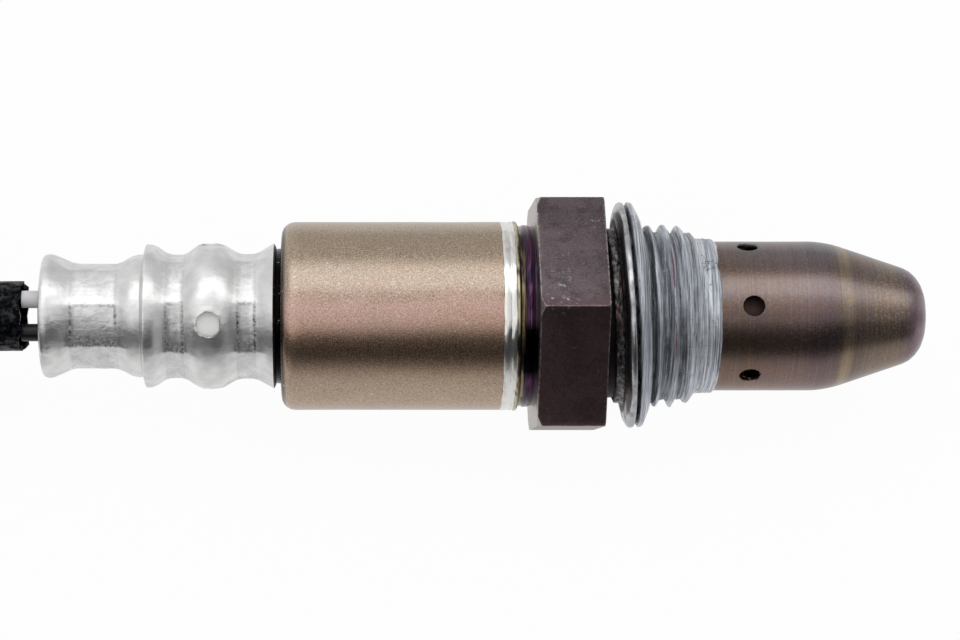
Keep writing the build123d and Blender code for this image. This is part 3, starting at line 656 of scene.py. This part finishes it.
def thread_height(station, roll):
    """Height in the thread's profile, 0 in a groove and 1 on the crest of its right-hand helix."""
    pitch = bpy.context.scene.sensor_sizes.thread_pitch / MM
    # roll runs from +Z towards -Y, so a right-hand crest moves to the tip as roll falls
    phase = (station - CREST_STATION) / pitch - (math.pi / 2 + roll) / TURN
    phase += grain_round(station, roll, 1.6, 2.5, 3.0) * 0.05
    return ease(0.25, 0.97, abs((phase % 1.0) - 0.5) * 2)


def thread_radius(station, roll):
    """Radius of the greased thread, whose crests sink under the paste to the front."""
    crest = CREST_RADIUS - 0.45 * ease(6.5, 8.2, station) + 0.05 * grain_round(station, roll, 2.0, 3.0, 14.0)
    root = ROOT_RADIUS + 0.12 * grain_round(station, roll, 0.8, 2.4, 7.0)
    drag = 0.09 * grain_round(station, roll, 0.26, 3.0, 1.0)
    return root + (crest - root) * thread_height(station, roll) + drag


def paste_radius(station, radius, roll):
    """Relief groove, thread, then the pasted pilot with its wrinkles and wavy rim."""
    if radius < RELIEF_RADIUS - 0.1 or station < RELIEF_END + 0.05:
        return radius
    thread = thread_radius(station, roll)
    if station < 4.0:
        runout = RELIEF_RADIUS + 0.05
        return runout + (thread - runout) * ease(3.3, 3.95, station)
    if station <= 8.0:
        return thread
    fine, broad = grain_round(station, roll, 0.3, 4.0, 5.0), grain_round(station, roll, 1.2, 1.6, 9.0)
    pilot = PILOT_RADIUS - 0.05 * (station - 8.1) + (0.035 * fine + 0.05 * broad)
    pilot += 0.2 * max(grain_round(station, roll, 1.5, 3.0, 12.0), 0) * ease(9.4, 8.4, station)
    share = ease(8.0, 8.7, station)
    value = thread * (1 - share) + pilot * share
    rim = 10.3 + 0.2 * grain_round(0, roll, 1.0, 4.0, 2.0)
    return value if station < rim else max(BORE_RADIUS + 0.2, value - (station - rim) * 1.1)


def crest_share(station, radius, roll):
    """Height in the thread's profile, and a middling value in the relief."""
    return thread_height(station, roll) if station > 3.6 else 0.4


def rubbed_bare(station, radius, roll):
    """Share of the paste that is rubbed off a crest's upper side."""
    return (ease(5.0, 5.3, station) * ease(6.4, 6.1, station)
            * ease(-0.4, -0.1, roll) * ease(1.2, 0.9, roll))


def tool_lines(station, radius, roll):
    """Neck with its fine turned lines."""
    return radius + 0.012 * math.sin(station * 40) + 0.01 * grain_round(station, roll, 0.2, 3.0)


class SENSOR_OT_hull(bpy.types.Operator):
    """Hull with its hexagon, neck, collar and greased thread"""
    bl_idname = "sensor.hull"
    bl_label = "Hull"

    def execute(self, context):
        colours = context.scene.sensor_colours
        piece("hull_hexagon", hexagon(), [hexagon_steel(colours)], "hull_steel", ["hex_body"], 24)
        neck = turned([
            (-9.25, 8.4), (-9.2, 9.22, 0.08), (-8.98, 9.32, 0.1), (-8.78, 9.2, 0.12), (-8.72, 8.86, 0.1),
            (-8.3, 8.8, 0.1), (-8.2, 8.92, 0.08), (-7.7, 8.9, 0.1), (-7.5, 8.8, 0.1), (-6.95, 8.86),
            (-6.95, BORE_RADIUS), (-9.25, BORE_RADIUS)
        ], fine=0.1, steps=256, core=8.5, shape=tool_lines)
        piece("hull_neck", neck, [neck_steel()], "hull_steel", ["hex_body"])
        start, end = -0.8, 10.9
        thread = turned([
            (start, RELIEF_RADIUS), (RELIEF_END, RELIEF_RADIUS), (end, RELIEF_RADIUS), (end, BORE_RADIUS),
            (start, BORE_RADIUS)
        ], fine=0.08, steps=300, core=RELIEF_RADIUS - 0.1, shape=paste_radius)
        set_marks(thread, bare=rubbed_bare, crest=crest_share)
        for face in thread.faces:
            face.material_index = read(face.calc_center_median())[0] < 3.3
        # the relief groove is painted near black as shade
        relief = soot_and_shade_steel("relief_painted_shade_steel", "#221B18", "#120E0D")
        piece("hull_thread", thread, [thread_paste(colours), relief], "hull_steel", ["hex_body"], 60)
        return {"FINISHED"}


# The ring hangs a little above the thread's axis. In degrees, its top leans to the hexagon and its near
# side to the tip.
RING_TILT, RING_SWING = -2.7, 1.6
RING_MIDDLE, RING_LIFT = 2.0, 0.17


class SENSOR_OT_gasket(bpy.types.Operator):
    """Folded sealing ring that hangs a little askew before the seat"""
    bl_idname = "sensor.gasket"
    bl_label = "Sealing ring"

    def execute(self, context):
        def dented(station, radius, roll):
            if radius < 8.6:
                return radius + 0.14 * grain_round(station, roll, 0.6, 0.7, 3.0)
            paste = ease(2.3, 2.6, station) * 0.07 * grain_round(station, roll, 0.35, 1.2, 5.0)
            return radius + paste + 0.04 * grain_round(station, roll, 1.5, 5.0, 8.0) * ease(9.0, 10.5, radius)

        # grime on the bead beside the hexagon, and painted shade deep in the slit between the lips
        def bead_grime_and_slit_shade(station, radius, roll):
            return max(ease(9.7, 9.3, radius) * ease(2.0, 1.6, station),
                       ease(10.8, 10.5, radius) * (2.12 < station < 2.52))

        # rear lip, slit between the lips, front lip and bore
        ring = turned([
            (0.3, 8.22), (0.36, 8.46, 0.12), (0.9, 8.56, 0.2), (1.22, 8.76, 0.2), (1.12, 9.4, 0.4),
            (1.3, 10.5, 0.4), (1.64, 11.02, 0.15), (1.98, 11.08, 0.12), (2.14, 10.95, 0.08),
            (2.2, 9.6, 0.05), (2.3, 9.5, 0.05), (2.38, 9.6, 0.05), (2.5, 10.9, 0.1), (2.66, 11.06, 0.08),
            (2.95, 10.95, 0.12), (3.25, 10.3, 0.4), (3.66, 9.4, 0.3), (3.74, 8.98, 0.15), (3.6, 8.82, 0.1),
            (2.7, 8.56, 0.2), (1.3, 8.22)], fine=0.16, steps=240, shape=dented)
        set_marks(ring, bead=bead_grime_and_slit_shade, crest=lambda *_: 1.0)
        for face in ring.faces:
            station, radius, roll = read(face.calc_center_median())
            rough_edge = 0.25 * grain_round(station, roll, 0.5, 1.0, 6.0)
            face.material_index = station > 2.36 + rough_edge * ease(8.5, 9.5, radius)
        middle = around(RING_MIDDLE, 0)
        lifted = Matrix.Translation(middle + Vector((0, 0, RING_LIFT)) * MM)
        swing = Matrix.Rotation(math.radians(RING_SWING), 4, "Z")
        askew = swing @ Matrix.Rotation(math.radians(RING_TILT), 4, "Y")
        bmesh.ops.transform(ring, matrix=lifted @ askew @ Matrix.Translation(-middle), verts=ring.verts[:])
        finishes = [make(context.scene.sensor_colours) for make in (bare_steel, thread_paste)]
        piece("gasket_ring", ring, finishes, "gasket_steel", ["gasket"], 50)
        return {"FINISHED"}


# Tip tube: outer radius, wall, the hole in its end, and the ring of gas holes
TUBE_RADIUS, TUBE_WALL, TUBE_END, END_HOLE = 7.3, 0.45, 31.0, 1.0
GAS_HOLES, GAS_STATION, GAS_CLOCK = 6, 13.55, 63.5


class SENSOR_OT_tip(bpy.types.Operator):
    """Outer and inner tubes round the sensing element"""
    bl_idname = "sensor.tip"
    bl_label = "Tip tubes"

    def execute(self, context):
        bore, floor = TUBE_RADIUS - TUBE_WALL, TUBE_END - TUBE_WALL
        outer = [(9.05, TUBE_RADIUS), (21.36, TUBE_RADIUS, 1.5), (TUBE_END, 4.07, 2.1),
                 (TUBE_END, END_HOLE, 0.12)]
        inner = [(floor, END_HOLE, 0.1), (floor, 3.75, 1.75), (21.28, bore, 1.4), (9.05, bore)]
        tube = turned(outer + inner, fine=0.6, steps=256, shape=uneven(0.012, 3.0, 6.0, 2.0))
        obj = linked("tip_tube", tube)
        hole = context.scene.sensor_sizes.gas_hole / MM / 2
        drill(obj, GAS_STATION, GAS_HOLES, GAS_CLOCK, hole, (5.9, TUBE_RADIUS), 0.13)
        dress(obj, [tempered_tube_steel()], "tube_steel", ["outer_protection_tube"], 30)
        paint(soot_and_shade_steel("sooted_steel", "#6B5650", "#40332F"), "inner_protection_tube")
        return {"FINISHED"}


class SENSOR_OT_shell(bpy.types.Operator):
    """Drawn shell behind the hexagon and the weld that holds it"""
    bl_idname = "sensor.shell"
    bl_label = "Shell and weld"

    def execute(self, context):
        shell = turned([
            (-46.0, 4.45), (-46.0, 4.9, 0.1), (-34.6, 4.9, 0.8), (-32.5, 6.62, 0.6), (-31.7, 6.62, 0.3),
            (-31.7, 9.21, 1.3), (-10.4, 9.21), (-10.4, 8.76), (-31.25, 8.76, 0.85), (-31.25, 6.17, 0.3),
            (-32.3, 6.17, 0.3), (-34.4, 4.45, 0.5)
        ], fine=0.7, steps=256, shape=uneven(0.012, 4.0, 5.0, 2.0, core=9))
        finish = tinted_shell_steel(context.scene.sensor_colours)
        piece("shell_case", shell, [finish], "shell_steel", ["upper_shell"])
        bead = turned([
            (-10.5, 8.8), (-10.42, 9.19, 0.06), (-10.2, 9.25, 0.12), (-9.85, 9.24, 0.12),
            (-9.68, 9.17, 0.1), (-9.5, 9.24, 0.1), (-9.15, 9.24, 0.1), (-9.1, 9.0), (-9.1, 8.4), (-10.5, 8.4)
        ], fine=0.12, steps=256, core=8.9, shape=uneven(0.014, 0.5, 1.2, 1.0, 2, 8.9))
        for vert in bead.verts:
            station, radius, roll = read(vert.co)
            vert.co = around(station + 0.08 * grain_round(station, roll, 2.0, 1.6, 8.0), radius, roll)
        piece("weld_bead", bead, [weld_steel()], "weld_steel", ["weld_ring"], 60)
        return {"FINISHED"}


# Each crimp band: first and last station, radius over its octagon's corners
CRIMPS = [(-52.0, -47.65, 5.22), (-42.75, -41.15, 6.16), (-35.85, -34.2, 6.22)]
FLAT_CENTRE = 44.8
VENT_HOLES, VENT_STATION, VENT_CLOCK = 4, -38.6, 49.1
BULGE_RADIUS, COVER_WALL = 7.1, 0.4


def nearest(roll, clock, count):
    """Angle from the nearest of a count of places round the sensor, one of which is at the clock angle."""
    pitch = TURN / count
    return (roll - view_roll(clock) + pitch / 2) % pitch - pitch / 2


def crimped(station, radius, roll):
    """Radius of the cover, pressed flat by eight jaws in each band."""
    flat = math.cos(math.pi / 8) / math.cos(nearest(roll, FLAT_CENTRE, 8))
    depth = 0.0
    for start, end, corner in CRIMPS:
        inside = ease(start - 0.25, start + 0.1, station) * ease(end + 0.25, end - 0.1, station)
        # the sheet springs back a little between the jaws' corners, and follows each flat beyond the jaws
        away = max(start - station, station - end, 0.0)
        share = max(0.55 * inside, 0.42 * math.exp(-(away / 0.9) ** 2))
        depth = max(depth, share * corner * (1 - flat))
    dent = 0.02 * grain_round(station, roll, 2.2, 1.8, 4.0)
    # punching left a faint burr round each vent hole
    beside = nearest(roll, VENT_CLOCK, VENT_HOLES) * BULGE_RADIUS
    from_hole = math.hypot(station - VENT_STATION, beside) - 1.35
    burr = 0.05 * math.exp(-(from_hole / 0.22) ** 2) * (1 + 0.8 * grain_round(station, roll, 0.5, 0.5, 6.0))
    return radius - depth + dent + burr


def jaw_end(station, radius, roll):
    """Millimetres to the nearest end of a crimp band, negative outside it."""
    return max(min(station - start, end - station) for start, end, _ in CRIMPS)


def jaw_corner(station, radius, roll):
    """Millimetres round the cover to the nearest corner between two flats."""
    return (TURN / 16 - abs(nearest(roll, FLAT_CENTRE, 8))) * 6.0


class SENSOR_OT_vent_cover(bpy.types.Operator):
    """Crimped vent cover and the filter sleeve under its holes"""
    bl_idname = "sensor.vent_cover"
    bl_label = "Vent cover"

    def execute(self, context):
        cover = turned([
            (-55.05, 5.15), (-55.05, 5.95, 0.35), (-54.3, 6.1, 0.3), (-52.0, 5.24, 0.5),
            (-47.65, 5.24, 0.6), (-46.1, 6.02, 0.6), (-45.25, 6.0, 0.12), (-44.95, 7.06, 0.16),
            (-44.15, 6.97, 0.4), (-42.75, 6.18, 0.5), (-41.15, 6.18, 0.5), (-39.75, BULGE_RADIUS, 0.8),
            (-37.6, BULGE_RADIUS, 0.8), (-35.85, 6.24, 0.5), (-34.2, 6.24, 0.5), (-32.45, 7.12)
        ], closed=False, fine=0.24, steps=224, shape=crimped)
        set_marks(cover, jaw_end=jaw_end, jaw_corner=jaw_corner)
        obj = linked("vent_cover_sheet", cover)
        thicken(obj, COVER_WALL)
        hole = context.scene.sensor_sizes.vent_hole / MM / 2
        drill(obj, VENT_STATION, VENT_HOLES, VENT_CLOCK, hole, (6.0, BULGE_RADIUS), 0.1)
        dress(obj, [drawn_steel(context.scene.sensor_colours)], "cover_steel", ["vent_cover"], 50)
        paint(porous_white("porous_ptfe", "#F4F4F2", "#E2E2E0"), "filter_sleeve")
        return {"FINISHED"}


# Route of the lead in millimetres: out of the cover, down to the surface and into the coil, where each
# turn has the Y of its centre, its radius, its first angle and its sweep
REST_Z = 3.45
LEAD_ROUTE = [(-44.2, 0, AXIS_Z), (-52.2, 0, AXIS_Z), (-62.98, 0, 9.1), (-73.27, 0, 5.35),
              (-84.06, 0, REST_Z)]
COIL_TURNS = [(-36.5, 36.5, 90, 180), (-40.0, 33.0, 270, 180), (-36.5, 29.5, 90, 60)]
COIL_X, COIL_STEP = -92.06, 22.5
# One strand of the sleeve's weave, and the sleeve's wall
STRAND, SLEEVE_WALL = 0.5, 0.5


def lead_points():
    """Control points of the lead: each arc's points stand outside it, so that the curve touches it."""
    def on_turn(centre_y, reach, angle):
        return COIL_X + reach * math.cos(angle), centre_y + reach * math.sin(angle), REST_Z

    points = list(LEAD_ROUTE)
    for centre_y, radius, start, sweep in COIL_TURNS:
        count = round(sweep / COIL_STEP)
        step = math.radians(sweep / count)
        for index in range(count):
            angle = math.radians(start) + step * (index + 0.5)
            points.append(on_turn(centre_y, radius / math.cos(step / 2), angle))
    return points + [on_turn(centre_y, radius, math.radians(start + sweep))]


def along_route(thickness):
    """A mesh along the route: its centre line, or a tube of a radius in metres."""
    points = lead_points()
    data = bpy.data.curves.new("route", "CURVE")
    data.dimensions, data.resolution_u = "3D", 10
    spline = data.splines.new("NURBS")
    spline.points.add(len(points) - 1)
    for held, point in zip(spline.points, points):
        held.co = (*(Vector(point) * MM), 1.0)
    spline.order_u, spline.use_endpoint_u = 3, True
    data.bevel_depth, data.bevel_resolution = thickness, 11
    mesh = baked(linked("route", data))
    bpy.data.curves.remove(data)
    return mesh


class SENSOR_OT_lead(bpy.types.Operator):
    """Sleeved lead in its coil, and the four wires at its mouth"""
    bl_idname = "sensor.lead"
    bl_label = "Lead"

    def execute(self, context):
        sizes = context.scene.sensor_sizes
        path = [list(vert.co) for vert in along_route(0.0).vertices]
        radius = sizes.sleeve_diameter / 2
        mesh = along_route(radius)
        mesh.uv_layers[0].name = "sleeve"
        # the curve's UV runs from 0 to 1 and is made to count pairs of strands
        along = sizes.sleeve_length / (STRAND * MM) / 2
        across = round(TURN * radius / (STRAND * MM) / 2)
        for held in mesh.uv_layers[0].data:
            held.uv = held.uv[0] * along, held.uv[1] * across
        for vert in mesh.vertices:
            if vert.co.x > (LEAD_ROUTE[0][0] - 0.2) * MM:
                # the cut end is frayed
                vert.co.x += 0.7 * MM * noise.noise(vert.co * 1900)
        obj = linked("lead_sleeve_tube", mesh)
        thicken(obj, SLEEVE_WALL)
        finish = coated_sleeve(context.scene.sensor_colours)
        dress(obj, [finish], "sleeve_black", ["lead_sleeve", "lead_coil"], 40)
        paint(wire_jacket("wire_silicone_black", "#050506", "#0B0B0D"),
              "lead_wire_2", "plug_wire_2", "lead_wire_3", "plug_wire_3")
        paint(wire_jacket("wire_silicone_grey", "#7B7B80", "#66666C"), "lead_wire_1", "plug_wire_1")
        paint(wire_jacket("wire_silicone_white", "#F5F3F6", "#E9E5EB"), "lead_wire_4", "plug_wire_4")
        return {"FINISHED"}


class SENSOR_OT_plug(bpy.types.Operator):
    """Finishes of the plug, its pins and the cable tie"""
    bl_idname = "sensor.plug"
    bl_label = "Plug and tie"

    def execute(self, context):
        paint(moulded("glass_filled_nylon_dark", "#1B1B1D", "#222225", 0.5), "connector_housing")
        paint(moulded("nylon_grey", "#8F9296", "#85888D", 0.45), "seal_cap")
        paint(moulded("nylon_grey_lock", "#9EA1A6", "#93969B", 0.45), "terminal_lock")
        paint(moulded("silicone_seal_orange", "#A5512A", "#964824", 0.4), "wire_seal")
        paint(moulded("nylon_tie_black", "#0E0E0F", "#161617", 0.42), "cable_tie")
        paint(plain_metal("tinned_brass", "#CFCBBF", "#B9B4A4", 0.28), *four("connector_pin"))
        return {"FINISHED"}


class SENSOR_OT_inside(bpy.types.Operator):
    """Finishes of the hidden pieces: element, packing, contacts and grommet"""
    bl_idname = "sensor.inside"
    bl_label = "Inner pieces"

    def execute(self, context):
        paint(porous_white("sintered_alumina", "#EDEBE2", "#E0DDD2"),
              "front_insulator", "rear_insulator", "terminal_insulator")
        paint(porous_white("sintered_zirconia", "#E9E4D6", "#D9D2C0"), "sensing_element")
        paint(porous_white("pressed_talc", "#D3D2C9", "#BFBEB4"), "talc_seal")
        paint(plain_metal("stamped_steel", "#B9B9B9", "#9E9E9E", 0.35),
              "packing_ring", "spring_washer", "retaining_ring")
        paint(plain_metal("nickel_contact", "#C9BE9C", "#B3A783", 0.3), *four("contact_terminal"))
        paint(moulded("moulded_rubber_dark", "#15121A", "#1E1A24", 0.55), "grommet")
        return {"FINISHED"}


# Stage in metres: floor, lamp with its place and aim, and a camera that looks down at a point of the axis
FLOOR_REACH = 3.0
LAMP_PLACE, LAMP_AIM, LAMP_SIZE, LAMP_POWER = (0.25, 0.14, 0.55), (0.25, 0, 0.01), (1.3, 0.36), 1.15
CAMERA_FOOT, CAMERA_RISE, CAMERA_DISTANCE = Vector((-12.52, 0, AXIS_Z)) * MM, math.radians(55.8), 0.26
CAMERA_FILM, CAMERA_LENS, CAMERA_SHIFT = 36.0, 99.35, (0.1385, -0.0042)


def white_paper():
    """Matt white paper, which shines evenly to the eye and casts soft light back on the sensor."""
    material, add = new_material("matt_white_paper")
    ray = add("LightPath")
    seen = add("MAXIMUM", ray["Is Camera Ray"], ray["Is Glossy Ray"])
    seen = add("MAXIMUM", seen, ray["Is Transmission Ray"])
    paper = add("BsdfDiffuse", "#E6E6E6")
    # metal sees the paper fall off into the shade of the front wall
    spot = add("SeparateXYZ", add("TexCoord")["Object"])
    shade = where(add, (spot["X"], -0.05, 0.03, 0.27, 0.1))
    mirrored = where(add, (spot["Y"], -0.105, -0.006, shade, 0.88))
    glow = add("Emission", "#FFFFFF", add("Mix", ray["Is Glossy Ray"], 1.0, mirrored))
    add("OutputMaterial", add("MixShader", seen, paper, add("MixShader", 0.035, glow, paper)))
    return material


def card_room():
    """World of white card, brightest overhead, with a dark front wall that only metal sees."""
    world = bpy.data.worlds.new("studio")
    add = emptied(world)
    way = add("SeparateXYZ", add("TexCoord")["Generated"])
    ray = add("LightPath")
    front = where(add, (way["Y"], -0.15, -0.45))
    # height over the horizon, sloped to one side
    side = add("SUBTRACT", 1.0, add("MULTIPLY", way["X"], way["X"]))
    height = add("DIVIDE", way["Z"], add("POWER", side, 0.5))
    height = add("SUBTRACT", height, where(add, (way["X"], -0.12, 0.16, -0.07, 0.12)))
    low = where(add, (height, 0.65, 0.53), (way["X"], 0.95, 0.7))
    overhead = where(add, (add("ADD", way["Z"], add("MULTIPLY", way["Y"], -0.35)), 0.5, 1.0, 0.62, 0.84),
                     (way["X"], -0.1, 0.05, 1.3, 1.0))
    card = where(add, (add("MULTIPLY", front, low), 0.0, 1.0, overhead, 0.045))
    level = add("ADD", add("MULTIPLY", card, ray["Is Glossy Ray"]),
                add("MULTIPLY", add("SUBTRACT", 1.0, ray["Is Glossy Ray"]), 0.7))
    level = add("Mix", ray["Is Camera Ray"], level, 1.0)
    add("OutputWorld", add("Background", "#FFFFFF", level))
    return world


class SENSOR_OT_studio(bpy.types.Operator):
    """Floor, world, soft light and camera"""
    bl_idname = "sensor.studio"
    bl_label = "Studio"

    def execute(self, context):
        scene = context.scene
        bm = bmesh.new()
        bmesh.ops.create_grid(bm, x_segments=1, y_segments=1, size=FLOOR_REACH)
        floor = linked("studio_floor", bm)
        floor.data.materials.append(white_paper())
        scene.world = card_room()

        light = bpy.data.lights.new("key_softbox", "AREA")
        light.shape, light.energy = "RECTANGLE", LAMP_POWER
        light.size, light.size_y = LAMP_SIZE
        lamp = linked("key_softbox", light)
        lamp.location = LAMP_PLACE
        lamp.rotation_euler = (Vector(LAMP_AIM) - lamp.location).to_track_quat("-Z", "Y").to_euler()

        lens = bpy.data.cameras.new("camera")
        lens.sensor_width, lens.lens = CAMERA_FILM, CAMERA_LENS
        lens.shift_x, lens.shift_y = CAMERA_SHIFT
        lens.clip_start, lens.clip_end = 0.01, 20
        scene.camera = linked("camera", lens)
        back = Vector((0, -math.cos(CAMERA_RISE), math.sin(CAMERA_RISE)))
        scene.camera.location = CAMERA_FOOT + back * CAMERA_DISTANCE
        scene.camera.rotation_euler = (math.pi / 2 - CAMERA_RISE, 0, 0)
        scene.view_settings.view_transform = "Standard"
        return {"FINISHED"}


# --- panel and registration

STEPS = (SENSOR_OT_hull, SENSOR_OT_gasket, SENSOR_OT_tip, SENSOR_OT_shell, SENSOR_OT_vent_cover,
         SENSOR_OT_lead, SENSOR_OT_plug, SENSOR_OT_inside, SENSOR_OT_studio)


class SENSOR_PT_steps(bpy.types.Panel):
    """Lists the steps that build the sensor"""
    bl_idname = "SENSOR_PT_steps"
    bl_label = "Oxygen Sensor"
    bl_space_type = "VIEW_3D"
    bl_region_type = "UI"
    bl_category = "Sensor"

    def draw(self, context):
        for step in STEPS:
            self.layout.operator(step.bl_idname)
        for group in (context.scene.sensor_sizes, context.scene.sensor_colours):
            for name in group.__annotations__:
                self.layout.prop(group, name)


CLASSES = (SensorSizes, SensorColours) + STEPS + (SENSOR_PT_steps,)


def register():
    for cls in CLASSES:
        bpy.utils.register_class(cls)
    bpy.types.Scene.sensor_sizes = bpy.props.PointerProperty(type=SensorSizes)
    bpy.types.Scene.sensor_colours = bpy.props.PointerProperty(type=SensorColours)


def unregister():
    del bpy.types.Scene.sensor_colours
    del bpy.types.Scene.sensor_sizes
    for cls in reversed(CLASSES):
        bpy.utils.unregister_class(cls)


def main():
    register()
    for step in STEPS:
        getattr(bpy.ops.sensor, step.bl_idname.removeprefix("sensor."))()


if __name__ == "__main__":
    main()
